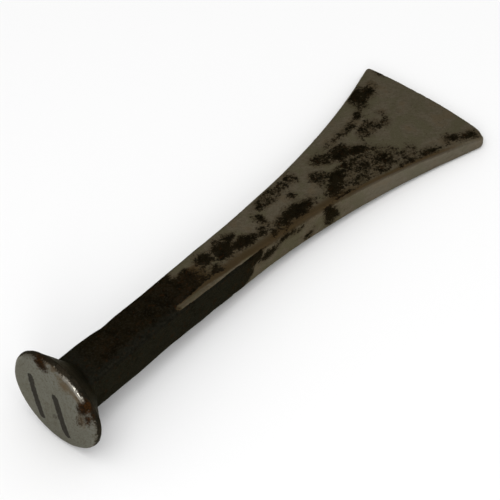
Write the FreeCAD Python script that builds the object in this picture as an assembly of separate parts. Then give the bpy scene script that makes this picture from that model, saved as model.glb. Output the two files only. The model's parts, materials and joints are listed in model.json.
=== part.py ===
import FreeCAD, Part
import math
import os

from FreeCAD import Vector

# Caulking iron: one hand-forged steel tool with a crowned striking head, a rectangular shank
# and a blade that flares and thins to a blunt working edge. Lengths are millimetres.
#
# The tool is shaped along its own axis first: X runs from the striking face to the working
# edge, Y across the blade and Z through its thickness. It is then laid down to rest on the rim
# of its head and the tip of its blade, with the floor at Z = 0.

# Working edge: bowed outwards by EDGE_BOW at half of BLADE_WIDTH
TOOL_LENGTH = 172.6
BLADE_WIDTH = 53.0
EDGE_BOW = 1.8

# Striking head: a disc turned about the tool's axis, then set a degree out of square. The round
# of the rim is fuller the smaller RIM_FULLNESS is.
HEAD_RADIUS = 16.85
FACE_FLAT_RADIUS = 5.0
CROWN_HEIGHT = 1.0
RIM_ROUND_RADIAL = 1.3
RIM_ROUND_AXIAL = 2.0
RIM_FULLNESS = 0.2
RIM_LAND = 0.3
BACK_EDGE_ROUND = 0.5
CONE_SLOPE = 1.26
CONE_TIP_RADIUS = 5.0
HEAD_SKEW_DEGREES = 1.0
NECK_FILLET = 2.2

# Stations along the axis
BODY_START = 4.0
HEAD_END = 16.0
WAIST_AT = 34.5
FLARE_AT = 75.0

# Half widths of the shank in plan
NECK_HALF_WIDTH = 7.2
WAIST_HALF_WIDTH = 6.9

# The blade's two long sides: half width and slope where the flare starts and where the rounding
# of the corner starts, and how far from the axis that rounding meets the working edge. The left
# corner is crisp and the right one is worn.
LEFT_SIDE = {
    "flare_half": 8.2,
    "flare_slope": 0.035,
    "corner_at": 169.2,
    "corner_half": 24.8,
    "corner_slope": 0.38,
    "meets_edge": 23.4,
}
RIGHT_SIDE = {
    "flare_half": 7.4,
    "flare_slope": 0.02,
    "corner_at": 166.8,
    "corner_half": 25.4,
    "corner_slope": 0.38,
    "meets_edge": 17.0,
}

# Thickness. From LIP_AT on, both broad faces are ground in more steeply towards the edge.
NECK_THICKNESS = 12.6
FLARE_THICKNESS = 10.9
LIP_AT = 164.5
LIP_THICKNESS = 5.1
LIP_TAPER = 0.06
LIP_BLEND = 0.3
EDGE_THICKNESS = 3.3

# Rounding of the long edges, carried round the corners and the nose of the working edge
LONG_EDGE_ROUND = 1.2

# The back cone runs out on the shank no nearer to the face than this
NECK_STARTS_AFTER = 7.5

# Edges shorter than this along the axis are the upright ones between the broad faces
SHORTEST_OUTLINE_EDGE = 0.5

# A face looks a given way if its normal has at least this much of it
FACING = 0.9

# Half size of the blocks that trim the forging, larger than any of its sections
TRIM = 40.0

# The tool is laid down in this many corrections of its tilt
SETTLE_STEPS = 8


def bezier(points):
    curve = Part.BezierCurve()
    curve.setPoles([Vector(*point) for point in points])
    return curve.toShape()


def line(start, end):
    return Part.LineSegment(Vector(*start), Vector(*end)).toShape()


def cubic(x0, y0, slope0, x1, y1, slope1):
    """Poles of a curve that leaves (x0, y0) and meets (x1, y1) at the given slopes."""
    third = (x1 - x0) / 3.0
    return [
        (x0, y0, 0.0),
        (x0 + third, y0 + slope0 * third, 0.0),
        (x1 - third, y1 - slope1 * third, 0.0),
        (x1, y1, 0.0),
    ]


def rounding(start, start_way, end, end_way):
    """Poles of a curve from start to end, tangent to both ways."""
    across = end_way[0] * start_way[1] - end_way[1] * start_way[0]
    gap_x = end[0] - start[0]
    gap_y = end[1] - start[1]
    reach = (end_way[0] * gap_y - end_way[1] * gap_x) / across
    middle = (start[0] + reach * start_way[0], start[1] + reach * start_way[1], 0.0)
    return [start, middle, end]


def head_outline():
    """Half of the head's section, from its axis over the crown and rim to the back cone."""
    crown_rim = HEAD_RADIUS - RIM_ROUND_RADIAL
    crown_run = crown_rim - FACE_FLAT_RADIUS
    crown_radius = (CROWN_HEIGHT**2 + crown_run**2) / (2.0 * CROWN_HEIGHT)
    half_angle = math.asin(crown_run / crown_radius) / 2.0
    crown_middle = Vector(
        crown_radius * (1.0 - math.cos(half_angle)),
        FACE_FLAT_RADIUS + crown_radius * math.sin(half_angle),
        0.0,
    )
    land_start = CROWN_HEIGHT + RIM_ROUND_AXIAL
    land_end = land_start + RIM_LAND
    cone_start = land_end + BACK_EDGE_ROUND
    cone_rim = HEAD_RADIUS - BACK_EDGE_ROUND
    cone_end = cone_start + (cone_rim - CONE_TIP_RADIUS) / CONE_SLOPE
    flat_end = (0.0, FACE_FLAT_RADIUS, 0.0)
    crown_end = (CROWN_HEIGHT, crown_rim, 0.0)
    back_corner = (cone_start, HEAD_RADIUS, 0.0)
    shoulder = (CROWN_HEIGHT + RIM_FULLNESS * RIM_ROUND_AXIAL, HEAD_RADIUS, 0.0)
    edges = [
        line((0.0, 0.0, 0.0), flat_end),
        Part.Arc(Vector(*flat_end), crown_middle, Vector(*crown_end)).toShape(),
        bezier([crown_end, shoulder, (land_start, HEAD_RADIUS, 0.0)]),
        line((land_start, HEAD_RADIUS, 0.0), (land_end, HEAD_RADIUS, 0.0)),
        bezier([(land_end, HEAD_RADIUS, 0.0), back_corner, (cone_start, cone_rim, 0.0)]),
        line((cone_start, cone_rim, 0.0), (cone_end, CONE_TIP_RADIUS, 0.0)),
        line((cone_end, CONE_TIP_RADIUS, 0.0), (cone_end, 0.0, 0.0)),
        line((cone_end, 0.0, 0.0), (0.0, 0.0, 0.0)),
    ]
    return Part.Wire(edges)


def make_head():
    head = Part.Face(head_outline()).revolve(Vector(0, 0, 0), Vector(1, 0, 0), 360)
    head.rotate(Vector(CROWN_HEIGHT + RIM_ROUND_AXIAL, 0, 0), Vector(0, 0, 1), HEAD_SKEW_DEGREES)
    return head


def edge_point(y):
    """Point of the bowed working edge at width position y."""
    return (TOOL_LENGTH - EDGE_BOW * (2.0 * y / BLADE_WIDTH) ** 2, y, 0.0)


def edge_way(y):
    """Direction of the working edge at width position y."""
    return (-8.0 * EDGE_BOW * y / BLADE_WIDTH**2, 1.0)


def side_curves(side):
    """Poles of the curves along one side, from the neck round the corner to the edge."""
    neck = cubic(BODY_START, NECK_HALF_WIDTH, 0.0, WAIST_AT, WAIST_HALF_WIDTH, 0.0)
    grip = cubic(WAIST_AT, WAIST_HALF_WIDTH, 0.0, FLARE_AT, side["flare_half"], side["flare_slope"])
    flare = cubic(
        FLARE_AT,
        side["flare_half"],
        side["flare_slope"],
        side["corner_at"],
        side["corner_half"],
        side["corner_slope"],
    )
    meet = side["meets_edge"]
    corner = rounding(flare[-1], (1.0, side["corner_slope"]), edge_point(meet), edge_way(meet))
    return [neck, grip, flare, corner]


def plan_prism():
    """Everything inside the plan outline, from below the tool to above it."""
    left = side_curves(LEFT_SIDE)
    right = [[(x, -y, z) for x, y, z in poles] for poles in side_curves(RIGHT_SIDE)]
    left_y = LEFT_SIDE["meets_edge"]
    right_y = -RIGHT_SIDE["meets_edge"]
    edge = rounding(edge_point(left_y), edge_way(left_y), edge_point(right_y), edge_way(right_y))
    edges = [line(right[0][0], left[0][0])]
    edges += [bezier(poles) for poles in left]
    edges += [bezier(edge)]
    edges += [bezier(poles[::-1]) for poles in right[::-1]]
    outline = Part.Face(Part.Wire(edges))
    outline.translate(Vector(0, 0, -TRIM))
    return outline.extrude(Vector(0, 0, 2.0 * TRIM))


def thickness_prism():
    """Everything between the two broad faces, from one side of the tool to the other.

    The lip slopes more than the floor does under the resting tool, so the blade lies on a line
    across its whole width, just behind the working edge.
    """
    flare_half = FLARE_THICKNESS / 2.0
    lip_half = LIP_THICKNESS / 2.0
    edge_half = EDGE_THICKNESS / 2.0
    shank_taper = (flare_half - NECK_THICKNESS / 2.0) / (FLARE_AT - BODY_START)
    lip_slope = (lip_half - edge_half) / (TOOL_LENGTH - LIP_AT)
    blend_start = (LIP_AT - LIP_BLEND, lip_half + LIP_TAPER * LIP_BLEND)
    blend_end = (LIP_AT + LIP_BLEND, lip_half - lip_slope * LIP_BLEND)
    blade = cubic(FLARE_AT, flare_half, shank_taper, blend_start[0], blend_start[1], -LIP_TAPER)
    blend = [blend_start, (LIP_AT, lip_half), blend_end]
    lip = [blend_end, (TOOL_LENGTH, edge_half)]
    upper = [[(pole[0], -TRIM, pole[1]) for pole in poles] for poles in (blade, blend, lip)]
    lower = [[(pole[0], -TRIM, -pole[1]) for pole in poles] for poles in (blade, blend, lip)]
    top_start = (BODY_START, -TRIM, NECK_THICKNESS / 2.0)
    bottom_start = (BODY_START, -TRIM, -NECK_THICKNESS / 2.0)
    edges = [
        line(bottom_start, top_start),
        line(top_start, upper[0][0]),
        bezier(upper[0]),
        bezier(upper[1]),
        line(upper[2][0], upper[2][1]),
        line(upper[2][1], lower[2][1]),
        line(lower[2][1], lower[2][0]),
        bezier(lower[1][::-1]),
        bezier(lower[0][::-1]),
        line(lower[0][0], bottom_start),
    ]
    return Part.Face(Part.Wire(edges)).extrude(Vector(0, 2.0 * TRIM, 0))


def outline_edges(body):
    """Edges of the two broad faces that follow the plan outline from the neck to the nose."""
    return [edge for edge in body.Edges if edge.BoundBox.XLength > SHORTEST_OUTLINE_EDGE]


def neck_edges(forging):
    """Edges where the back cone of the head runs out on the shank."""
    found = []
    for edge in forging.Edges:
        box = edge.BoundBox
        spread = max(box.YLength, box.ZLength)
        if box.XMin > NECK_STARTS_AFTER and box.XMax < HEAD_END and spread > LONG_EDGE_ROUND / 2.0:
            found.append(edge)
    return found


def make_forging():
    body = plan_prism().common(thickness_prism()).Solids[0]
    body = body.makeFillet(LONG_EDGE_ROUND, outline_edges(body))
    forging = make_head().fuse(body).removeSplitter()
    return forging.makeFillet(NECK_FILLET, neck_edges(forging))


def zone(forging, first, last):
    """The part of the forging between two stations along its axis."""
    block = Part.makeBox(last - first, 2.0 * TRIM, 2.0 * TRIM, Vector(first, -TRIM, -TRIM))
    return forging.common(block).Solids[0]


def lowest(shape):
    return shape.optimalBoundingBox(False, False).ZMin


def lay_down(zones):
    """Tilt the tool until head and blade touch the floor together, then centre it there."""
    axis = Vector(0, 1, 0)
    for _ in range(SETTLE_STEPS):
        gap = lowest(zones["blade"]) - lowest(zones["striking_head"])
        correction = math.degrees(math.atan(gap / TOOL_LENGTH))
        for shape in zones.values():
            shape.rotate(Vector(0, 0, 0), axis, correction)
    box = Part.makeCompound(list(zones.values())).optimalBoundingBox(False, False)
    for shape in zones.values():
        shape.translate(Vector(-box.Center.x, -box.Center.y, -box.ZMin))


def report_flat(name, shape, way):
    """Print the centre and normal of the largest flat face that looks the given way."""
    flats = []
    for face in shape.Faces:
        if face.Surface.TypeId == "Part::GeomPlane" and face.normalAt(0, 0).dot(way) > FACING:
            flats.append(face)
    face = max(flats, key=lambda flat: flat.Area)
    centre = tuple(face.CenterOfMass)
    print(name, "centre", centre, "normal", tuple(face.normalAt(0, 0)), "area", face.Area)


def main():
    forging = make_forging()
    zones = {
        "striking_head": zone(forging, -TRIM, HEAD_END),
        "shank": zone(forging, HEAD_END, FLARE_AT),
        "blade": zone(forging, FLARE_AT, TOOL_LENGTH + TRIM),
    }
    lay_down(zones)
    os.makedirs("parts", exist_ok=True)
    for name, shape in zones.items():
        shape.exportStep("parts/" + name + ".step")
        print(name, "valid", shape.isValid(), "volume", shape.Volume)
    box = Part.makeCompound(list(zones.values())).optimalBoundingBox(False, False)
    print("overall", box.XLength, box.YLength, box.ZLength)
    report_flat("striking_face", zones["striking_head"], Vector(-1, 0, 0))
    report_flat("shank_flat", zones["shank"], Vector(0, 0, 1))


main()
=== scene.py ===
import json
import math

import bmesh
import bpy
import numpy as np
from mathutils import Matrix, Vector


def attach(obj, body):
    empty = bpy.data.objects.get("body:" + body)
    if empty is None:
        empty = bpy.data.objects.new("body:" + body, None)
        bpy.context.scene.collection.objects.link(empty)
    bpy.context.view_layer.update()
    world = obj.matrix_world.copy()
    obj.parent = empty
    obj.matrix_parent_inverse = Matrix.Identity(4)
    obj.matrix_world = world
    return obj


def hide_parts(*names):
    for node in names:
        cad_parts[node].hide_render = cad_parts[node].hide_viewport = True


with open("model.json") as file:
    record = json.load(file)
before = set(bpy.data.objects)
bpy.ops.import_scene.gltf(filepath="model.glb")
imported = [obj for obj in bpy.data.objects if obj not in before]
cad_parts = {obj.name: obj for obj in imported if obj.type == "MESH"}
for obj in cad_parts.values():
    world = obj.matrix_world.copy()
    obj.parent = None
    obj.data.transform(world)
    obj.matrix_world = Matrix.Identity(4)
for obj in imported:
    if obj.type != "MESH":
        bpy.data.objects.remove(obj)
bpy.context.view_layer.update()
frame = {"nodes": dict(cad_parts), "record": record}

# The caulking iron is one forging. It is meshed finely in the tool's own frame, in millimetres:
# X runs from the striking face to the working edge, Y across the blade and Z through its
# thickness. There it gets its hammer marks, pits and worn edges. It is then laid in the row's
# frame and cut into the three pieces that stand for the CAD nodes.
NODES = ("striking_head", "shank", "blade")
CUTS = (16.0, 75.0)
BEFORE_FACE, BEYOND_EDGE = -50.0, 250.0
CUT_TOLERANCE = 0.004
LOOP_TOLERANCE = 0.001
BISECT_TOLERANCE = 0.00001
VOXEL = 0.32
MM = 0.001

# ---------------------------------------------------------------- dimensions, as in part.py
HEAD_SKEW_DEGREES = 1.0
HEAD_PIVOT = 3.0
BODY_START, NECK_HALF_WIDTH = 4.0, 7.2
WAIST_AT, WAIST_HALF_WIDTH = 34.5, 6.9
FLARE_AT = 75.0

# The right side of the blade: where it starts and where the corner's rounding does, with the
# half width and the slope at each
RIGHT_FLARE = (FLARE_AT, 7.4, 0.02)
RIGHT_CORNER = (166.8, 25.4, 0.38)


def tool_to_row():
    """Placement of the tool in the row's frame, from the mount on its striking face."""
    mounts = {m["name"]: m for m in frame["record"]["mounts"]}
    face = mounts["striking_face"]
    skew = math.radians(HEAD_SKEW_DEGREES)
    tilt = math.asin(face["axis"][2] / math.cos(skew))
    turn = Matrix.Rotation(tilt, 4, "Y")
    centre = Vector(
        (HEAD_PIVOT - HEAD_PIVOT * math.cos(skew), -HEAD_PIVOT * math.sin(skew), 0.0)
    )
    place = Vector(face["pos_m"]) / MM - turn.to_3x3() @ centre
    return tilt, Matrix.Translation(place) @ turn


TILT, PLACED = tool_to_row()
TO_ROW = Matrix.Scale(MM, 4) @ PLACED
TO_TOOL = TO_ROW.inverted()


# ---------------------------------------------------------------- small numeric helpers
def smooth(low, high, value):
    """Soft step from 0 at low to 1 at high. It falls instead where low is over high."""
    t = np.clip((value - low) / (high - low), 0.0, 1.0)
    return t * t * (3.0 - 2.0 * t)


def bell(value, middle, width):
    """One at the middle, falling off to both sides."""
    return np.exp(-(((value - middle) / width) ** 2))


def hermite(x, x0, y0, s0, x1, y1, s1):
    """Cubic through two points with the given slopes."""
    run = x1 - x0
    t = (x - x0) / run
    return (
        (2 * t**3 - 3 * t**2 + 1) * y0
        + (t**3 - 2 * t**2 + t) * run * s0
        + (3 * t**2 - 2 * t**3) * y1
        + (t**3 - t**2) * run * s1
    )


def right_half_width(x):
    """Half width of the shank and blade on the right side, without the corner's rounding."""
    neck = hermite(x, BODY_START, NECK_HALF_WIDTH, 0.0, WAIST_AT, WAIST_HALF_WIDTH, 0.0)
    grip = hermite(x, WAIST_AT, WAIST_HALF_WIDTH, 0.0, *RIGHT_FLARE)
    flare = hermite(x, *RIGHT_FLARE, *RIGHT_CORNER)
    return np.where(x < WAIST_AT, neck, np.where(x < FLARE_AT, grip, flare))


LATTICE_SIDE = 48
LATTICE_OFFSET = 1000.0
LATTICE_SHIFT = 0.37
OCTAVE_WEIGHT = 0.55


def lattice_noise(points, size, seed):
    """Smooth noise from -1 to 1 with features of the given size in millimetres."""
    side = LATTICE_SIDE
    table = np.random.RandomState(seed).uniform(-1.0, 1.0, (side, side, side))
    p = points / size + LATTICE_OFFSET + LATTICE_SHIFT * seed
    cell = np.floor(p).astype(int)
    f = p - cell
    f = f * f * f * (f * (6.0 * f - 15.0) + 10.0)
    total = np.zeros(len(points))
    for dx in (0, 1):
        wx = f[:, 0] if dx else 1.0 - f[:, 0]
        for dy in (0, 1):
            wy = f[:, 1] if dy else 1.0 - f[:, 1]
            for dz in (0, 1):
                wz = f[:, 2] if dz else 1.0 - f[:, 2]
                i, j, k = ((cell[:, n] + d) % side for n, d in enumerate((dx, dy, dz)))
                total += wx * wy * wz * table[i, j, k]
    return total


def fractal(points, size, seed, octaves=3):
    """Lattice noise with finer and weaker octaves added."""
    total, weight, reach = 0.0, 1.0, 0.0
    for n in range(octaves):
        total = total + weight * lattice_noise(points, size / 2**n, seed + n)
        reach += weight
        weight *= OCTAVE_WEIGHT
    return total / reach


# ---------------------------------------------------------------- camera
# Angles in degrees about the tool's own axes, and lengths in millimetres. The focal length and
# the aim are in units of which the picture is PICTURE_WIDTH wide.
CAMERA_AZIMUTH = -46.3046
CAMERA_ELEVATION = 46.2399
CAMERA_ROLL = -1.7112
CAMERA_DISTANCE = 599.97
CAMERA_TARGET = (86.0, 0.0, 0.0)
PICTURE_WIDTH = 500.0
FOCAL_LENGTH = 1940.14
AIM_RIGHT, AIM_UP = 2.739, -7.176
SENSOR_WIDTH = 36.0
CLIP_START, CLIP_END = 0.01, 20.0


def make_camera():
    """The camera that the photo was taken from, as fitted to the tool's outline."""
    azimuth, elevation, roll = (
        math.radians(angle) for angle in (CAMERA_AZIMUTH, CAMERA_ELEVATION, CAMERA_ROLL)
    )
    back = Vector(
        (
            math.sin(azimuth) * math.cos(elevation),
            -math.cos(azimuth) * math.cos(elevation),
            math.sin(elevation),
        )
    )
    level = Vector((math.cos(azimuth), math.sin(azimuth), 0.0))
    rise = back.cross(level)
    right = math.cos(roll) * level + math.sin(roll) * rise
    up = -math.sin(roll) * level + math.cos(roll) * rise
    turn = PLACED.to_3x3()
    right, up, back = turn @ right, turn @ up, turn @ back
    eye = TO_ROW @ Vector(CAMERA_TARGET) + back * CAMERA_DISTANCE * MM
    # The camera aims slightly beside its target, which sets where the tool falls in the picture
    yaw = math.atan(AIM_RIGHT / FOCAL_LENGTH)
    pitch = math.atan(AIM_UP / FOCAL_LENGTH)
    basis = Matrix((right, up, back)).transposed()
    aim = Matrix.Rotation(yaw, 3, "Y") @ Matrix.Rotation(pitch, 3, "X")
    data = bpy.data.cameras.new("camera")
    data.sensor_width = SENSOR_WIDTH
    data.lens = FOCAL_LENGTH * data.sensor_width / PICTURE_WIDTH
    data.clip_start = CLIP_START
    data.clip_end = CLIP_END
    camera = bpy.data.objects.new("camera", data)
    camera.matrix_world = Matrix.Translation(eye) @ (basis @ aim).to_4x4()
    bpy.context.scene.collection.objects.link(camera)
    bpy.context.scene.camera = camera


# ---------------------------------------------------------------- floor and light
FLOOR_SIZE = 6.0
FLOOR_COLOUR = (0.86, 0.86, 0.86, 1.0)
FLOOR_ROUGHNESS = 0.9
FLOOR_SPECULAR = 0.1
WHITE = (1.0, 1.0, 1.0, 1.0)

# The softboxes light only the middle of the floor. Beyond it the floor glows a little, more and
# more from the first distance to the second.
GLOW_FROM, GLOW_TO = 0.35, 2.2
GLOW_STRENGTH = 0.40

# Square softboxes: name, direction, distance, size and radiance
SOFTBOXES = (
    ("front_box", (-0.69, -0.534, 0.508), 0.9, 0.28, 5.0),
    ("top_box", (-0.3, -0.3, 1.5), 1.5, 1.4, 2.0),
)

# What the world gives at the horizon and near the zenith, and what the camera sees of it
AMBIENT_LOW = (0.55, 0.55, 0.55, 1.0)
AMBIENT_HIGH = (0.72, 0.72, 0.72, 1.0)
AMBIENT_HIGH_AT = 0.9
BACKDROP_STRENGTH = 0.98


def make_floor():
    """White floor that the tool lies on."""
    bpy.ops.mesh.primitive_plane_add(size=FLOOR_SIZE, location=(0.0, 0.0, 0.0))
    floor = bpy.context.object
    floor.name = "floor"
    material = bpy.data.materials.new("pale_floor")
    material.use_nodes = True
    tree = material.node_tree
    shader = tree.nodes["Principled BSDF"]
    shader.inputs["Base Color"].default_value = FLOOR_COLOUR
    shader.inputs["Roughness"].default_value = FLOOR_ROUGHNESS
    shader.inputs["Specular IOR Level"].default_value = FLOOR_SPECULAR
    shader.inputs["Emission Color"].default_value = WHITE
    where = tree.nodes.new("ShaderNodeTexCoord")
    away = tree.nodes.new("ShaderNodeVectorMath")
    away.operation = "LENGTH"
    glow = tree.nodes.new("ShaderNodeMapRange")
    glow.interpolation_type = "SMOOTHSTEP"
    glow.inputs["From Min"].default_value = GLOW_FROM
    glow.inputs["From Max"].default_value = GLOW_TO
    glow.inputs["To Min"].default_value = 0.0
    glow.inputs["To Max"].default_value = GLOW_STRENGTH
    tree.links.new(where.outputs["Object"], away.inputs[0])
    tree.links.new(away.outputs["Value"], glow.inputs["Value"])
    tree.links.new(glow.outputs["Result"], shader.inputs["Emission Strength"])
    floor.data.materials.append(material)


def softbox(name, way, distance, size, radiance):
    """Square area light that faces the tool from the given way."""
    data = bpy.data.lights.new(name, "AREA")
    data.shape = "SQUARE"
    data.size = size
    data.energy = radiance * math.pi * size * size
    light = bpy.data.objects.new(name, data)
    place = Vector(way).normalized() * distance
    light.location = place
    light.rotation_euler = place.to_track_quat("Z", "Y").to_euler()
    bpy.context.scene.collection.objects.link(light)


def make_light():
    """White surroundings and the softboxes."""
    world = bpy.data.worlds.new("studio")
    bpy.context.scene.world = world
    world.use_nodes = True
    tree = world.node_tree
    tree.nodes.clear()
    coordinates = tree.nodes.new("ShaderNodeTexCoord")
    split = tree.nodes.new("ShaderNodeSeparateXYZ")
    ramp = tree.nodes.new("ShaderNodeValToRGB")
    low, high = ramp.color_ramp.elements
    low.position, low.color = 0.0, AMBIENT_LOW
    high.position, high.color = AMBIENT_HIGH_AT, AMBIENT_HIGH
    seen = tree.nodes.new("ShaderNodeBackground")
    seen.inputs["Color"].default_value = WHITE
    seen.inputs["Strength"].default_value = BACKDROP_STRENGTH
    lit = tree.nodes.new("ShaderNodeBackground")
    path = tree.nodes.new("ShaderNodeLightPath")
    mix = tree.nodes.new("ShaderNodeMixShader")
    out = tree.nodes.new("ShaderNodeOutputWorld")
    tree.links.new(coordinates.outputs["Generated"], split.inputs[0])
    tree.links.new(split.outputs["Z"], ramp.inputs[0])
    tree.links.new(ramp.outputs["Color"], lit.inputs["Color"])
    tree.links.new(path.outputs["Is Camera Ray"], mix.inputs[0])
    tree.links.new(lit.outputs[0], mix.inputs[1])
    tree.links.new(seen.outputs[0], mix.inputs[2])
    tree.links.new(mix.outputs[0], out.inputs[0])
    for box in SOFTBOXES:
        softbox(*box)


# ---------------------------------------------------------------- surface fields
# Fields of depth are in millimetres: over zero inside, under zero outside.
FAR_OUTSIDE = -6.0
DEEP_INSIDE = 3.0

# Stations that the fields share: where the head's own treatment ends and where the nose starts
HEAD_UP_TO = 5.0
NOSE_FROM = 160.0

# Patches of forge scale left on the upper face of the blade: x, y, half length, half width,
# turn in degrees, and how solid the patch is. A patch near zero breaks up into specks.
TOP_PATCHES = (
    (66.8, 3.0, 2.7, 2.3, 0, 1.8),
    (67.2, -2.9, 2.2, 1.5, 0, 0.8),
    (74.0, 1.0, 4.5, 3.2, 10, 1.5),
    (80.5, -1.6, 4.5, 2.6, -10, 1.5),
    (78.0, 3.6, 2.2, 1.6, 0, 0.5),
    (86.8, -1.8, 2.6, 1.6, 20, 0.6),
    (91.2, -0.2, 1.0, 2.4, 0, 1.0),
    (90.0, -5.6, 1.5, 1.0, 30, 0.5),
    (100.0, -4.5, 8.6, 2.8, 4, 2.0),
    (105.6, 1.4, 0.9, 0.8, 0, 0.8),
    (95.5, 6.4, 1.6, 0.9, 0, 0.3),
    (102.5, 6.3, 5.6, 1.6, 5, 0.05),
    (111.3, 6.8, 1.4, 1.6, 0, 0.1),
    (117.4, 1.0, 2.6, 3.2, 0, -0.05),
    (117.5, -6.6, 4.6, 2.9, 8, 1.6),
    (121.4, -4.6, 2.8, 3.6, -10, 1.6),
    (117.6, -11.3, 3.4, 0.8, -12, 0.9),
    (125.5, 5.0, 4.4, 2.6, -25, 0.5),
    (131.0, 3.2, 4.8, 3.2, -20, 0.7),
    (136.0, 0.2, 4.0, 2.2, -25, 0.9),
    (129.5, -1.6, 3.4, 1.8, 0, 0.6),
    (131.0, -6.6, 12.0, 6.0, -8, -0.02),
    (135.0, -7.6, 2.4, 1.6, 20, 0.5),
    (138.5, -11.2, 1.8, 1.1, 0, 0.4),
    (126.5, -9.5, 2.6, 1.0, 0, 0.3),
    (143.2, -15.2, 3.0, 1.3, -15, 0.6),
    (150.5, -17.2, 3.2, 1.4, -10, 0.7),
    (146.0, -12.5, 3.0, 2.0, 0, -0.15),
    (139.0, 9.4, 5.6, 0.9, 3, 0.25),
    (149.5, 11.4, 2.4, 1.3, 20, 0.5),
    (156.8, 16.2, 5.4, 3.2, 18, 1.2),
    (153.5, 13.6, 2.4, 1.6, 0, 0.8),
    (162.6, 17.6, 2.0, 1.2, 0, 0.35),
    (154.8, 6.3, 0.8, 1.1, 0, 0.6),
    (145.5, 3.9, 4.4, 2.6, 10, -0.1),
    (151.5, 2.6, 2.0, 1.4, 0, -0.1),
    (161.0, -18.8, 2.6, 1.4, -15, 0.5),
    (166.3, -21.4, 3.8, 1.9, -20, 1.0),
    (171.2, 20.0, 0.7, 0.9, 0, 0.5),
)

# The same on the right side of the blade: x, z, half length, half height, turn, solidity
SIDE_PATCHES = (
    (110.6, 0.2, 2.6, 2.8, 0, 1.8),
    (110.0, 3.2, 1.6, 1.6, 0, 0.8),
    (94.0, 3.1, 3.4, 0.8, 0, 0.6),
    (85.5, 1.2, 3.2, 1.2, 0, 0.8),
    (102.4, -2.2, 1.2, 1.0, 0, 0.5),
)

# Rust on the striking head, seen from its face: y, z, half sizes, turn, solidity
HEAD_RUST = (
    (3.2, 15.0, 3.2, 1.9, 14, 2.0),
    (-13.2, 8.0, 2.1, 3.4, 25, 2.4),
    (-14.6, 4.2, 1.2, 2.6, 12, 0.8),
    (-12.0, 2.6, 1.1, 2.6, 20, -0.1),
    (-1.4, -4.2, 0.5, 0.6, 0, 0.0),
)

# Two plain worn strokes of dark paint on the striking face: y, z of both ends
FACE_STROKES = ((7.6, 6.6, 4.9, -8.6), (-2.4, 5.0, -5.1, -9.8))
STROKE_HALF_WIDTH = 1.35

# Patches scattered over the underside and the left side: seed, count and range of stations
UNDER_SCATTER = (11, 46, 62.0, 168.0)
LEFT_SCATTER = (5, 9, 84.0, 165.0)
LEFT_SCATTER_HALF = 4.5


def patch_field(u, v, patches):
    """Signed depth in millimetres inside the nearest patch, at most as deep as it is solid."""
    field = np.full(len(u), FAR_OUTSIDE)
    for cu, cv, ru, rv, turn, solid in patches:
        a = math.radians(turn)
        du = (u - cu) * math.cos(a) + (v - cv) * math.sin(a)
        dv = (v - cv) * math.cos(a) - (u - cu) * math.sin(a)
        depth = (1.0 - np.hypot(du / ru, dv / rv)) * min(ru, rv)
        field = np.maximum(field, np.minimum(depth, solid))
    return field


def random_patches(seed, count, low, high, rows):
    """Scattered patches, as far to the sides as rows gives for a station."""
    random = np.random.RandomState(seed)
    made = []
    for _ in range(count):
        along = random.uniform(low, high)
        half = rows(along)
        size = random.uniform(0.9, 1.8) ** 2
        made.append(
            (
                along,
                random.uniform(-0.8, 0.8) * half,
                size * random.uniform(1.0, 2.4),
                size,
                random.uniform(-30.0, 30.0),
                random.choice((-0.1, 0.2, 0.6, 1.2)),
            )
        )
    return made


def under_half_width(x):
    """How far to each side the patches on the underside reach."""
    return 7.5 + 0.17 * (x - FLARE_AT)


def left_half_height(x):
    """How far up and down the patches on the left side reach."""
    return LEFT_SCATTER_HALF


def upper_boundary(x, y, rough_y):
    """How far a point of the upper face is short of where the face is ground.

    The grinding starts later in the middle than on the left, and much earlier in a strip along
    the right edge.
    """
    start = 60.0 + 3.5 * smooth(3.0, 0.8, y) - 4.5 * smooth(3.0, 4.6, y)
    start -= 16.5 * smooth(3.9, 4.5, -rough_y)
    return start - x


def scale_field(p, n):
    """Depth inside the forge scale: over zero where it is left, under zero on bare steel."""
    warp = [fractal(p, 4.6, seed, 2) * 1.5 for seed in (81, 84, 87)]
    x, y, z = p.T + np.array(warp)
    stray_x = x + 5.0 * fractal(p, 8.0, 101, 2)
    stray_y = y + 3.6 * fractal(p, 6.0, 104, 2)

    # Upper face: the boundary runs out gently in the middle and is crisp along the edges
    gentle = 1.0 - 0.78 * smooth(-4.4, -3.4, y) * smooth(5.0, 3.6, y)
    rough_y = p[:, 1] + 0.5 * fractal(p, 1.5, 95, 2)
    top = upper_boundary(x, y, rough_y) * gentle
    top = np.maximum(top, patch_field(x, y, TOP_PATCHES))

    # Underside
    scattered = random_patches(*UNDER_SCATTER, under_half_width)
    under = (58.0 + 1.5 * y / 7.0 - x) * 0.4
    under = np.maximum(under, patch_field(stray_x, stray_y, scattered))

    # Sides, where the boundary slants
    right = 78.5 + 0.9 * z - x + 1.2 * fractal(p, 2.4, 97, 2)
    right = np.maximum(right, patch_field(x, z, SIDE_PATCHES))
    scattered = random_patches(*LEFT_SCATTER, left_half_height)
    left = np.maximum(76.0 - 0.8 * z - x, patch_field(stray_x, z, scattered))

    field = np.where(n[:, 2] >= 0.0, top, under)
    on_right = smooth(0.42, 0.62, -n[:, 1])
    on_left = smooth(0.42, 0.62, n[:, 1])
    on_nose = smooth(0.5, 0.75, n[:, 0]) * (x > NOSE_FROM)
    field = field * (1 - on_right) + right * on_right
    field = field * (1 - on_left) + left * on_left
    field = field * (1 - on_nose) - 1.6 * on_nose

    # The head: its face is bare, and its rim and the cone behind it are dark
    head = (0.45 + n[:, 0]) * 5.0
    head = np.where(p[:, 0] > 6.0, DEEP_INSIDE, head)
    return np.clip(np.where(p[:, 0] < 14.0, head, field), FAR_OUTSIDE, DEEP_INSIDE)


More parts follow.
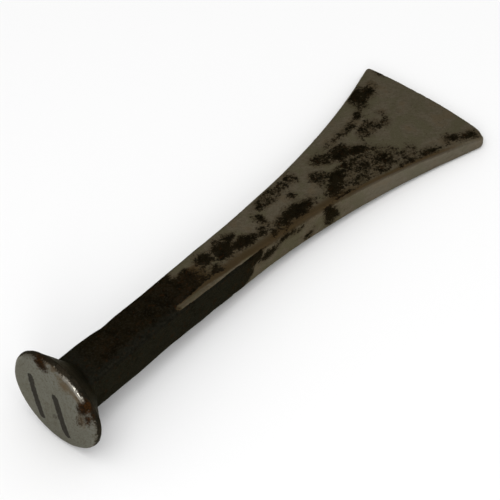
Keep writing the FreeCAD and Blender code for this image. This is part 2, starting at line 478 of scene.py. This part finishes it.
def blade_stain_and_shade(p, n):
    """Brown on the upper face: painted shade in a band and a thin streak along its rounded right
    edge, a weaker brown strip by that edge nearer the head, and stains where the grinding starts.
    """
    x, y, _ = p.T
    edge = right_half_width(x) + y
    clear = 0.9 + 1.2 * smooth(72.0, 56.0, x)
    clear = clear * smooth(84.0, 74.0, x)
    # Painted shade: a brown band just inside the rounded right edge
    near = smooth(5.0, 1.6, edge - clear) * smooth(clear - 0.5, clear + 0.6, edge)
    near *= smooth(46.0, 50.0, x) * smooth(136.0, 112.0, x)
    strip = 0.42 * smooth(72.0, 60.0, x) * smooth(44.0, 46.0, x) * (y < -4.0)
    near = np.maximum(near, strip)
    # Painted shade: a thin brown streak right at the rounded right edge, towards the nose
    painted_ridge_shade = bell(edge, 0.6, 1.1) * smooth(110.0, 120.0, x) * smooth(168.0, 150.0, x)
    start = bell(x, 60.5, 5.5) * smooth(-5.2, -3.5, y) * smooth(5.0, 3.0, y)
    start = np.maximum(start, 0.8 * bell(x, 47.0, 2.0) * smooth(-3.5, -4.5, y))
    return np.where(n[:, 2] > 0.2, np.maximum.reduce([0.95 * near, painted_ridge_shade, start]), 0.0)


def head_stain(p, n):
    """Tan tint along the upper rim of the face, and two weak spots."""
    x, y, z = p.T
    around = np.degrees(np.arctan2(z, y))
    rim = smooth(12.6, 15.2, np.hypot(y, z))
    rim = rim * smooth(66.0, 76.0, around) * smooth(160.0, 140.0, around)
    rim = rim * smooth(-0.5, 0.3, fractal(p, 3.2, 91, 2))
    spot = bell(y, -6.6, 2.6) * bell(z, 12.8, 2.4)
    low = 0.8 * bell(y, -12.2, 1.6) * bell(z, 2.4, 3.4)
    tint = np.maximum.reduce([0.7 * rim, 0.85 * spot, low])
    return tint * (x < HEAD_UP_TO) * smooth(0.2, 0.6, -n[:, 0])


def stain_and_shade_field(p, n):
    """Brown tint, from 0 to 1: stains, with the painted shade along the blade's right edge."""
    x, y, _ = p.T
    shank = smooth(-0.25, 0.5, fractal(p, 7.0, 21))
    shank = shank * smooth(62.0, 50.0, x) * smooth(12.0, 20.0, x)
    shank *= (0.15 + 0.85 * smooth(-5.0, 0.0, y)) * (n[:, 2] > -0.5)
    under = smooth(0.15, 0.6, fractal(p, 11.0, 24)) * (n[:, 2] < -0.2) * 0.6
    streaks = fractal(p * (0.18, 1.0, 1.0), 1.7, 27)
    sides = 0.5 * smooth(0.0, 0.6, streaks) * smooth(0.5, 0.8, np.abs(n[:, 1]))
    sides = sides * smooth(86.0, 100.0, x)
    every = [blade_stain_and_shade(p, n), shank, under, sides, head_stain(p, n)]
    return np.clip(np.maximum.reduce(every), 0.0, 1.0)


def rust_field(p, n):
    """Depth inside rust, which keeps to the face and its rim."""
    x, y, z = p.T
    field = patch_field(y, z, HEAD_RUST) - 3.5 * smooth(0.1, -0.25, -n[:, 0])
    return np.where(x < HEAD_UP_TO, field, FAR_OUTSIDE)


def stroke_field(p, n):
    """Depth inside the painted strokes on the striking face."""
    x, y, z = p.T
    field = np.full(len(x), FAR_OUTSIDE)
    for y0, z0, y1, z1 in FACE_STROKES:
        run = np.array((y1 - y0, z1 - z0))
        t = ((y - y0) * run[0] + (z - z0) * run[1]) / (run @ run)
        t = np.clip(t, 0.0, 1.0)
        away = np.hypot(y - y0 - t * run[0], z - z0 - t * run[1])
        field = np.maximum(field, STROKE_HALF_WIDTH - away)
    return np.where((x < 2.5) & (n[:, 0] < -0.8), field, FAR_OUTSIDE)


def rim_wear_and_highlight(p, n, patchy):
    """Worn rim of the head, patchy along its rounding; a painted highlight in a band on the
    rounding, and painted glints in crumbs along its back.
    """
    x, y, z = p.T
    around = np.degrees(np.arctan2(z, y))
    rounding = smooth(-0.95, -0.8, n[:, 0]) * smooth(-0.25, -0.5, n[:, 0])
    rounding *= (x < 3.6) * (np.hypot(y, z) > 14.0)
    # Painted highlight: a bright band across the rim's rounding, and a weaker one beside it
    painted_highlight = bell(around, 131.0, 9.0) + 0.3 * bell(around, 113.0, 7.0)
    # Painted glints: bright crumbs along the rim's back edge
    back = bell(x, 3.6, 0.55) * smooth(14.6, 15.6, np.hypot(y, z)) * (n[:, 0] > -0.2)
    back *= 0.9 * smooth(-0.1, 0.5, fractal(p, 1.6, 33, 2))
    return rounding * (0.25 * patchy + painted_highlight) + back


def wear_and_highlight_field(p, n):
    """How bright an edge is worn, with the painted highlight, glints and lit side added in, from
    0 to 1.
    """
    x, y, _ = p.T
    corner = smooth(0.05, 0.26, 1.0 - np.abs(n).max(axis=1))
    kept = 1.0 - 0.95 * (y < 0.0) * (n[:, 2] > 0.05)
    blade = 0.3 * corner * smooth(84.0, 110.0, x) * kept
    low = np.where(n[:, 2] < 0.0, 0.9, 0.35 * (y > 0.0))
    shank = low * corner * smooth(14.0, 20.0, x) * smooth(86.0, 70.0, x)
    nose = 0.5 * corner * smooth(0.2, 0.5, n[:, 0]) * (x > NOSE_FROM)
    patchy = smooth(-0.35, 0.35, fractal(p, 5.0, 31))
    edges = (blade + nose + shank) * (0.35 + 0.65 * patchy)
    # The right side of the blade is lightened towards the nose, and is the brightest: partly
    # polish, partly painted light
    painted_lit_side = 0.11 * smooth(0.55, 0.85, -n[:, 1]) * smooth(112.0, 132.0, x)
    return np.clip(edges + painted_lit_side + rim_wear_and_highlight(p, n, patchy), 0.0, 1.0)


# Dents from the mallet on the face: seed, count, and the ranges of reach, size and depth
DENT_SEED, DENT_COUNT = 71, 11
DENT_REACH = (2.0, 14.5)
DENT_SIZE = (0.7, 1.9)
DENT_DEPTH = (0.03, 0.09)


def displacement(p, n, scale):
    """Forging and worn marks, in millimetres along the surface's normal."""
    x, y, z = p.T
    on_head = smooth(16.0, 11.0, x)
    on_shank = smooth(10.0, 18.0, x) * smooth(92.0, 70.0, x)
    on_blade = smooth(70.0, 92.0, x)
    face = smooth(0.75, 0.92, -n[:, 0]) * (x < 3.0)
    rim = smooth(13.5, 16.0, np.hypot(y, z)) * (x < 7.0)
    # Hammer marks and unevenness, broad and then fine
    away = 0.24 * on_shank * fractal(p, 17.0, 1, 2)
    away += 0.09 * on_shank * fractal(p, 4.5, 4)
    away += 0.10 * on_blade * fractal(p, 15.0, 7, 2)
    away += 0.035 * on_blade * fractal(p, 3.0, 9)
    away += 0.22 * rim * (1 - face) * fractal(p, 6.0, 12, 2)
    away += 0.06 * on_head * (1 - face) * fractal(p, 3.0, 15)
    away += 0.035 * face * fractal(p, 3.5, 17, 2)
    # Scale stands a little proud of the ground steel, and is pitted
    skin = smooth(-0.3, 0.5, scale + 0.5 * fractal(p, 1.4, 41, 2))
    away += 0.05 * skin
    away -= 0.12 * skin * smooth(0.35, 0.75, fractal(p, 2.2, 44))
    # Pits in the ground blade
    away -= 0.12 * (1 - skin) * smooth(0.5, 0.8, fractal(p, 1.8, 51)) * on_blade
    # A hammer mark on the left edge of the shank
    away -= 0.35 * bell(x, 27.5, 3.4) * smooth(3.5, 6.5, y)
    # Nicks along the working edge
    nose = smooth(0.3, 0.8, n[:, 0]) * (x > NOSE_FROM)
    along_edge = np.stack([0 * y, y, 0 * y], 1)
    away -= 0.22 * nose * smooth(0.15, 0.7, lattice_noise(along_edge, 1.9, 61))
    # Dents from the mallet on the face
    random = np.random.RandomState(DENT_SEED)
    for _ in range(DENT_COUNT):
        a, r = random.uniform(0.0, 2.0 * math.pi), random.uniform(*DENT_REACH)
        size, depth = random.uniform(*DENT_SIZE), random.uniform(*DENT_DEPTH)
        d = np.hypot(y - r * math.cos(a), z - r * math.sin(a))
        away -= depth * face * bell(d, 0.0, size)
    return away


# ---------------------------------------------------------------- mesh
def raw_forging():
    """The CAD solids as one closed skin of small even quads, in the tool's frame."""
    bm = bmesh.new()
    for name in NODES:
        bm.from_mesh(frame["nodes"][name].data)
    bmesh.ops.transform(bm, matrix=TO_TOOL, verts=bm.verts)
    inner = [
        f for f in bm.faces
        if any(all(abs(v.co.x - cut) < CUT_TOLERANCE for v in f.verts) for cut in CUTS)
    ]
    bmesh.ops.delete(bm, geom=inner, context="FACES")
    mesh = bpy.data.meshes.new("forging")
    bm.to_mesh(mesh)
    bm.free()
    holder = bpy.data.objects.new("forging", mesh)
    bpy.context.scene.collection.objects.link(holder)
    remesh = holder.modifiers.new("remesh", "REMESH")
    remesh.mode = "VOXEL"
    remesh.voxel_size = VOXEL
    made = bpy.data.meshes.new_from_object(
        holder.evaluated_get(bpy.context.evaluated_depsgraph_get())
    )
    bpy.data.objects.remove(holder)
    return made


def read(mesh):
    """Points and normals of a mesh's vertices."""
    count = len(mesh.vertices)
    points = np.empty(count * 3)
    normals = np.empty(count * 3)
    mesh.vertices.foreach_get("co", points)
    mesh.vertex_normals.foreach_get("vector", normals)
    return points.reshape(-1, 3).copy(), normals.reshape(-1, 3).copy()


def shape_forging(mesh):
    """Displaces the skin and cuts it across at the stations where the pieces meet."""
    points, normals = read(mesh)
    scale = scale_field(points, normals)
    points += normals * displacement(points, normals, scale)[:, None]
    # What would come out under the floor is brought back up to it
    to_row = np.array(TO_ROW)
    height = points @ to_row[2, :3] + to_row[2, 3]
    up = np.array(TO_TOOL.to_3x3() @ Vector((0.0, 0.0, 1.0))) * MM
    points += np.clip(-height, 0.0, None)[:, None] / MM * up
    mesh.vertices.foreach_set("co", points.ravel())
    mesh.update()
    bm = bmesh.new()
    bm.from_mesh(mesh)
    for cut in CUTS:
        everything = bm.verts[:] + bm.edges[:] + bm.faces[:]
        bmesh.ops.bisect_plane(
            bm, geom=everything, dist=BISECT_TOLERANCE, plane_co=(cut, 0, 0), plane_no=(1, 0, 0)
        )
    bm.to_mesh(mesh)
    bm.free()
    mesh.update()


def border_loops(faces, cut, points):
    """Rings of vertices at a cut, each in the order that closes the piece."""
    edges = {}
    for face in faces:
        for a, b in zip(face, face[1:] + face[:1]):
            edges[(a, b)] = True
    follow = {}
    for a, b in edges:
        if (b, a) not in edges and abs(points[a][0] - cut) < LOOP_TOLERANCE:
            follow[b] = a
    loops = []
    while follow:
        start = next(iter(follow))
        loop, at = [], start
        while at in follow:
            loop.append(at)
            at = follow.pop(at)
        loops.append(loop)
    return loops


def make_piece(name, mesh, points, normals, first, last, material):
    """One closed piece of the forging between two stations, laid in the row's frame."""
    faces = [list(f.vertices) for f in mesh.polygons if first < f.center.x < last]
    caps = []
    for cut in CUTS:
        if cut in (first, last):
            caps += border_loops(faces, cut, points)
    used = sorted({v for face in faces for v in face})
    index = {v: i for i, v in enumerate(used)}
    p, n = points[used], normals[used]
    polygons = [[index[v] for v in face] for face in faces + caps]
    row = p @ np.array(TO_ROW.to_3x3()).T + np.array(TO_ROW.translation)
    made = bpy.data.meshes.new(name)
    made.from_pydata(row.tolist(), [], polygons)
    made.update()

    # The skin keeps the whole forging's normals, so that no cut shows, and the caps are flat
    turn = np.array(TO_ROW.to_3x3()) / MM
    corner = np.array([v for polygon in polygons for v in polygon])
    loop_normals = (n @ turn.T)[corner]
    at = len(loop_normals) - sum(len(cap) for cap in caps)
    for cap in caps:
        way = -1.0 if points[cap[0]][0] < first + LOOP_TOLERANCE else 1.0
        loop_normals[at : at + len(cap)] = turn @ np.array((way, 0.0, 0.0))
        at += len(cap)
    made.shade_smooth()
    made.normals_split_custom_set(loop_normals.tolist())

    fields = {
        "scale": scale_field(p, n),
        # Brown: stains, and the painted shade along the blade's right edge
        "stain_and_shade": stain_and_shade_field(p, n),
        "rust": rust_field(p, n),
        "paint": stroke_field(p, n),
        # Worn edges, together with the painted highlight, glints and lit side
        "wear_and_highlight": wear_and_highlight_field(p, n),
    }
    for field, values in fields.items():
        attribute = made.attributes.new(field, "FLOAT", "POINT")
        attribute.data.foreach_set("value", values.astype(np.float32))
    made.materials.append(material)
    piece = bpy.data.objects.new(name, made)
    bpy.context.scene.collection.objects.link(piece)
    return piece


# ---------------------------------------------------------------- material
# Colours of the ground steel, of the head, of the scale, and of what lies on them
BARE = (0.1070, 0.0890, 0.0600, 1.0)
BARE_LIGHT = (0.1340, 0.1150, 0.0820, 1.0)
BARE_DARK = (0.0800, 0.0650, 0.0410, 1.0)
BARE_GREEN = (0.0860, 0.0780, 0.0440, 1.0)
BARE_WARM = (0.1130, 0.0840, 0.0490, 1.0)
SMUDGE = (0.0580, 0.0460, 0.0280, 1.0)
HEAD_BARE = (0.1660, 0.1660, 0.1410, 1.0)
HEAD_DULL = (0.1220, 0.1170, 0.0920, 1.0)
SCALE_COOL = (0.0128, 0.0130, 0.0094, 1.0)
SCALE_WARM = (0.0104, 0.0076, 0.0036, 1.0)
SCALE_BLACK = (0.0046, 0.0034, 0.0016, 1.0)
SCALE_BROWN = (0.0170, 0.0092, 0.0040, 1.0)
SCALE_EDGE = (0.0340, 0.0270, 0.0180, 1.0)
SCALE_RUST = (0.0250, 0.0110, 0.0042, 1.0)
SCALE_GREY = (0.0200, 0.0180, 0.0125, 1.0)
# Brown of stains, and of the painted shade along the blade's right edge
BROWN = (0.0500, 0.0315, 0.0130, 1.0)
TAN = (0.0980, 0.0620, 0.0300, 1.0)
RUST = (0.0350, 0.0140, 0.0036, 1.0)
RUST_DARK = (0.0100, 0.0056, 0.0020, 1.0)
PAINT = (0.0160, 0.0132, 0.0098, 1.0)
# Bright worn steel; it also paints the highlight and glints on the rim and the light on the
# blade's right side
RUBBED_AND_HIGHLIGHT = (0.42, 0.40, 0.35, 1.0)
EDGE_TINT = (0.5700, 0.5600, 0.5100, 1.0)

# Where in the tool's length the head's colours end, and where those of the shank's scale do
HEAD_COLOUR_TO, HEAD_COLOUR_FROM = 9.0, 6.0
SHANK_COLOUR_TO, SHANK_COLOUR_FROM = 84.0, 66.0

# The ways that the grinding marks run in, and how long they are for their width
GRINDING, GRINDING_STRETCH = (0.62, -0.58, 0.53), 9.0
CROSSING, CROSSING_STRETCH = (0.35, 0.75, -0.55), 14.0

# Noises: scale per millimetre, detail, roughness and, for one, distortion. The streaks run along
# the grinding marks. The others are turned, so that their lattice lines up with no face.
STREAKS = (1.15, 3.0, 0.6)
FINE_STREAKS = (4.2, 2.0, 0.6)
CROSS_STREAKS = (3.0, 2.0, 0.6)
NOISE_TURN = (0.6, 0.5, 0.4)
BROAD = (0.15, 3.0, 0.55)
CLUMPS = (0.3, 1.0, 0.5)
MOTTLE = (0.30, 6.0, 0.74)
CRUST_SPOTS = (0.7, 4.0, 0.7, 0.6)
GRAIN = (0.95, 5.0, 0.62)
PITS = (1.25, 2.0, 0.55)
SPECK = (1.9, 2.0, 0.6)
FINE = (2.6, 3.0, 0.6)

# How widely noise spreads the edges of the scale, of the paint and of the rust, in millimetres
SPECK_SPREAD, STREAK_SPREAD, GRAIN_SPREAD, CLUMP_SPREAD = 2.2, 2.2, 4.0, 2.6
PAINT_SPREAD = 1.4
RUST_SPREAD = 1.7

# Roughness of the ground steel, of the scale, and of paint and rust
BARE_ROUGHNESS = (0.36, 0.52)
SCALE_ROUGHNESS = (0.5, 0.68)
DULL_ROUGHNESS = 0.78
RUBBED_SMOOTHER = -0.22
DULL_LESS_METAL = 0.95
SPECULAR = 0.03

# Relief in millimetres
STROKE_RELIEF, CROSS_RELIEF = 0.018, 0.007
FINE_RELIEF, GRAIN_RELIEF, SCALE_STEP = 0.10, 0.12, 0.05


class Tree:
    """Short ways to build a node tree."""

    def __init__(self, material):
        material.use_nodes = True
        self.tree = material.node_tree
        self.tree.nodes.clear()

    def link(self, source, target):
        """Links a socket, or sets a plain value."""
        if isinstance(source, (int, float, tuple)):
            target.default_value = source
        else:
            self.tree.links.new(source, target)

    def field(self, name):
        """Value of one of the mesh's fields."""
        made = self.tree.nodes.new("ShaderNodeAttribute")
        made.attribute_name = name
        return made.outputs["Fac"]

    def math(self, operation, a, b=0.0, c=0.0):
        made = self.tree.nodes.new("ShaderNodeMath")
        made.operation = operation
        for value, socket in zip((a, b, c), made.inputs):
            self.link(value, socket)
        return made.outputs[0]

    def add(self, a, b):
        return self.math("ADD", a, b)

    def take(self, a, b):
        return self.math("SUBTRACT", a, b)

    def times(self, a, b):
        return self.math("MULTIPLY", a, b)

    def spread(self, noise, width):
        """The noise about its middle of a half, made this wide."""
        return self.math("MULTIPLY_ADD", noise, width, -width / 2.0)

    def steps(self, value, low, high, to_low=0.0, to_high=1.0):
        """Soft step as the value goes from low to high."""
        made = self.tree.nodes.new("ShaderNodeMapRange")
        made.interpolation_type = "SMOOTHSTEP"
        self.link(value, made.inputs["Value"])
        self.link(low, made.inputs["From Min"])
        self.link(high, made.inputs["From Max"])
        self.link(to_low, made.inputs["To Min"])
        self.link(to_high, made.inputs["To Max"])
        return made.outputs["Result"]

    def blend(self, amount, a, b):
        """Colour a, with this amount of colour b."""
        made = self.tree.nodes.new("ShaderNodeMix")
        made.data_type = "RGBA"
        self.link(amount, made.inputs["Factor"])
        self.link(a, made.inputs[6])
        self.link(b, made.inputs[7])
        return made.outputs[2]

    def noise(self, vector, scale, detail, roughness, distortion=0.0):
        made = self.tree.nodes.new("ShaderNodeTexNoise")
        made.inputs["Scale"].default_value = scale
        made.inputs["Detail"].default_value = detail
        made.inputs["Roughness"].default_value = roughness
        made.inputs["Distortion"].default_value = distortion
        self.link(vector, made.inputs["Vector"])
        return made.outputs["Fac"]

    def mapping(self, vector, kind, location=(0, 0, 0), rotation=(0, 0, 0), scale=(1, 1, 1)):
        made = self.tree.nodes.new("ShaderNodeMapping")
        made.vector_type = kind
        made.inputs["Location"].default_value = location
        made.inputs["Rotation"].default_value = rotation
        made.inputs["Scale"].default_value = scale
        self.link(vector, made.inputs["Vector"])
        return made.outputs["Vector"]

    def parts(self, vector):
        """X and Y of a vector."""
        made = self.tree.nodes.new("ShaderNodeSeparateXYZ")
        self.link(vector, made.inputs[0])
        return made.outputs["X"], made.outputs["Y"]


def tool_coordinates(t):
    """Position in the tool's frame, in millimetres."""
    source = t.tree.nodes.new("ShaderNodeTexCoord").outputs["Object"]
    back = TO_TOOL.translation
    return t.mapping(source, "POINT", tuple(back), (0.0, -TILT, 0.0), (1 / MM, 1 / MM, 1 / MM))


def stroke_coordinates(t, tool, way, stretch):
    """Position stretched along one way, for marks that run that way."""
    turn = Vector(way).to_track_quat("X", "Z").to_euler()
    return t.mapping(tool, "TEXTURE", (0, 0, 0), tuple(turn), (stretch, 1.0, 1.0))


class Grain:
    """The place on the tool, and the noises and fields that the rest is made from."""

    def __init__(self, t):
        tool = tool_coordinates(t)
        self.along, self.across = t.parts(tool)
        grinding = stroke_coordinates(t, tool, GRINDING, GRINDING_STRETCH)
        crossing = stroke_coordinates(t, tool, CROSSING, CROSSING_STRETCH)
        self.streaks = t.noise(grinding, *STREAKS)
        self.fine_streaks = t.noise(grinding, *FINE_STREAKS)
        self.cross_streaks = t.noise(crossing, *CROSS_STREAKS)
        turned = t.mapping(tool, "POINT", rotation=NOISE_TURN)
        self.broad = t.noise(turned, *BROAD)
        self.clumps = t.noise(turned, *CLUMPS)
        self.mottle = t.noise(turned, *MOTTLE)
        self.crust_spots = t.noise(turned, *CRUST_SPOTS)
        self.grain = t.noise(turned, *GRAIN)
        self.pits = t.noise(turned, *PITS)
        self.speck = t.noise(turned, *SPECK)
        self.fine = t.noise(turned, *FINE)
        # Brown stains, with the painted shade along the blade's right edge
        self.stained = t.field("stain_and_shade")
        # Worn edges, with the painted highlight, glints and lit side
        self.wear_and_highlight = t.field("wear_and_highlight")
        self.on_head = t.steps(self.along, HEAD_COLOUR_TO, HEAD_COLOUR_FROM)
        self.rubbed_and_highlight = t.times(self.wear_and_highlight, t.steps(self.fine_streaks, 0.25, 0.55, 0.5, 1.0))


def scale_cover(t, g):
    """How much scale there is, how near its edge is, and how smudged the steel round it is."""
    field = t.field("scale")
    ragged = t.add(t.spread(g.streaks, STREAK_SPREAD), t.spread(g.grain, GRAIN_SPREAD))
    depth = t.add(t.add(field, t.spread(g.speck, SPECK_SPREAD)), ragged)
    depth = t.add(depth, t.spread(g.clumps, CLUMP_SPREAD))
    return t.steps(depth, -0.85, 0.6), t.steps(depth, -1.2, 0.2), t.steps(field, -2.1, 0.4)


def bare_colour(t, g, halo, smudge):
    """Ground steel, streaked, smudged and stained, and the paler steel of the head."""
    bare = t.blend(t.steps(g.streaks, 0.35, 0.68), BARE_DARK, BARE_LIGHT)
    bare = t.blend(0.55, bare, BARE)
    bare = t.blend(t.times(t.steps(g.broad, 0.45, 0.62), 0.7), bare, BARE_GREEN)
    bare = t.blend(t.times(t.steps(g.broad, 0.46, 0.32), 0.6), bare, BARE_WARM)
    bare = t.blend(t.steps(g.fine, 0.5, 0.72, 0.0, 0.5), bare, BARE_DARK)
    bare = t.blend(t.steps(g.fine, 0.5, 0.3, 0.0, 0.4), bare, BARE_LIGHT)
    head = t.blend(t.steps(g.broad, 0.52, 0.9), HEAD_BARE, HEAD_DULL)
    head = t.blend(t.steps(g.grain, 0.5, 0.68, 0.0, 0.8), head, HEAD_DULL)
    head = t.blend(t.steps(g.speck, 0.5, 0.66, 0.0, 0.7), head, BARE_DARK)
    bare = t.blend(t.times(g.on_head, 0.9), bare, head)
    bare = t.blend(t.times(smudge, t.steps(g.grain, 0.3, 0.62, 0.3, 0.85)), bare, SMUDGE)
    bare = t.blend(t.times(t.steps(g.pits, 0.64, 0.72), 0.7), bare, SMUDGE)
    bare = t.blend(t.times(halo, 0.4), bare, BROWN)
    # Brown stains and the painted shade along the blade's right edge, on the ground steel
    stain_and_shade = t.times(g.stained, t.steps(t.add(g.grain, g.stained), 0.4, 1.2))
    bare = t.blend(t.times(stain_and_shade, 0.9), bare, t.blend(g.on_head, BROWN, TAN))
    # Worn edges, the painted highlight and the painted light, in bright steel
    return t.blend(t.times(g.rubbed_and_highlight, 0.85), bare, RUBBED_AND_HIGHLIGHT)


def scale_colour(t, g):
    """Forge scale: warm on top, cool on the right side and at the neck, brown where stained."""
    across = t.math("MULTIPLY_ADD", g.mottle, 5.0, g.across)
    on_shank = t.steps(g.along, SHANK_COLOUR_TO, SHANK_COLOUR_FROM)
    cool = t.times(t.steps(across, -0.4, -3.0), on_shank)
    cool = t.math("MAXIMUM", cool, t.steps(g.along, 19.0, 13.0, 0.0, 0.8))
    cool = t.times(cool, t.steps(g.grain, 0.66, 0.42, 0.3, 1.0))
    dark = t.blend(t.steps(g.mottle, 0.46, 0.6), SCALE_WARM, SCALE_BLACK)
    # Brown on the scale follows the stains and the painted shade
    dark = t.blend(t.times(g.stained, t.steps(g.grain, 0.4, 0.66)), dark, SCALE_BROWN)
    dark = t.blend(cool, dark, SCALE_COOL)
    dark = t.blend(t.steps(g.mottle, 0.5, 0.64, 0.0, 0.55), dark, SCALE_BLACK)
    grey = t.steps(g.along, SHANK_COLOUR_TO, SHANK_COLOUR_FROM, 0.3, 0.65)
    dark = t.blend(t.times(t.steps(g.speck, 0.5, 0.64), grey), dark, SCALE_GREY)
    dark = t.blend(t.times(g.on_head, t.steps(g.mottle, 0.40, 0.58, 0.1, 0.65)), dark, SCALE_EDGE)
    dark = t.blend(t.steps(g.grain, 0.5, 0.36, 0.0, 0.6), dark, SCALE_BLACK)
    dark = t.blend(t.times(t.steps(g.crust_spots, 0.57, 0.68), 0.85), dark, SCALE_RUST)
    dark = t.blend(t.steps(g.fine, 0.46, 0.3, 0.0, 0.7), dark, SCALE_BLACK)
    # Worn edges of the scale, and the painted highlight where it reaches the scale
    return t.blend(t.times(g.wear_and_highlight, t.steps(g.speck, 0.3, 0.6, 0.35, 0.95)), dark, SCALE_EDGE)


def paint_cover(t, g):
    """How much paint there is, worn thin in fine spots."""
    edge = t.add(t.field("paint"), t.spread(g.grain, PAINT_SPREAD))
    return t.times(t.steps(edge, -0.2, 0.3), t.steps(g.fine, 0.25, 0.45, 0.6, 0.92))


def rust_cover(t, g):
    """How much rust there is, with a crumbling edge."""
    crumbs = t.times(t.add(g.grain, g.speck), RUST_SPREAD)
    edge = t.add(t.field("rust"), t.take(crumbs, RUST_SPREAD))
    return t.steps(edge, -0.9, 0.9)


def surface_roughness(t, g, scale, dull):
    """Ground steel smooth, most of all on worn edges and in the painted highlight; scale rougher;
    paint and rust dull.
    """
    bare = t.steps(g.fine_streaks, 0.2, 0.8, *BARE_ROUGHNESS)
    bare = t.math("MULTIPLY_ADD", g.rubbed_and_highlight, RUBBED_SMOOTHER, bare)
    crust = t.steps(g.fine, 0.3, 0.7, *SCALE_ROUGHNESS)
    rough = t.add(t.times(t.take(1.0, scale), bare), t.times(scale, crust))
    return t.add(t.times(rough, t.take(1.0, dull)), t.times(dull, DULL_ROUGHNESS))


def surface_relief(t, g, scale):
    """Height in millimetres: grinding strokes on the bare steel, crust on the scale."""
    strokes = t.add(
        t.times(g.fine_streaks, STROKE_RELIEF), t.times(g.cross_streaks, CROSS_RELIEF)
    )
    strokes = t.times(strokes, t.take(1.0, scale))
    crust = t.add(t.times(g.fine, FINE_RELIEF), t.times(g.grain, GRAIN_RELIEF))
    relief = t.add(t.add(strokes, t.times(crust, scale)), t.times(scale, SCALE_STEP))
    bump = t.tree.nodes.new("ShaderNodeBump")
    bump.inputs["Strength"].default_value = 1.0
    bump.inputs["Distance"].default_value = MM
    t.link(relief, bump.inputs["Height"])
    return bump.outputs[0]


def steel(name):
    """The one surface of the forging: bare ground steel, forge scale, rust and paint."""
    material = bpy.data.materials.new(name)
    t = Tree(material)
    g = Grain(t)
    scale, halo, smudge = scale_cover(t, g)
    paint = paint_cover(t, g)
    rust = rust_cover(t, g)
    dull = t.math("MAXIMUM", paint, rust)
    rust_colour = t.blend(t.steps(t.add(g.fine, g.mottle), 0.8, 1.1), RUST, RUST_DARK)
    colour = t.blend(scale, bare_colour(t, g, halo, smudge), scale_colour(t, g))
    colour = t.blend(paint, colour, PAINT)
    colour = t.blend(rust, colour, rust_colour)

    shader = t.tree.nodes.new("ShaderNodeBsdfPrincipled")
    t.link(colour, shader.inputs["Base Color"])
    t.link(surface_roughness(t, g, scale, dull), shader.inputs["Roughness"])
    t.link(t.take(1.0, t.times(dull, DULL_LESS_METAL)), shader.inputs["Metallic"])
    t.link(surface_relief(t, g, scale), shader.inputs["Normal"])
    shader.inputs["Specular IOR Level"].default_value = SPECULAR
    shader.inputs["Specular Tint"].default_value = EDGE_TINT
    out = t.tree.nodes.new("ShaderNodeOutputMaterial")
    t.link(shader.outputs[0], out.inputs["Surface"])
    return material


# ---------------------------------------------------------------- build
make_camera()
make_floor()
make_light()
bpy.context.scene.view_settings.view_transform = "Standard"

forging = raw_forging()
shape_forging(forging)
points, normals = read(forging)
stations = (BEFORE_FACE,) + CUTS + (BEYOND_EDGE,)
slots = {s["node"]: s["material_slot"] for s in frame["record"]["subparts"]}
for name, first, last in zip(NODES, stations, stations[1:]):
    slot = slots[name]
    piece = make_piece(name + "_forged", forging, points, normals, first, last, steel(slot))
    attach(piece, "root")
    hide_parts(name)
bpy.data.meshes.remove(forging)
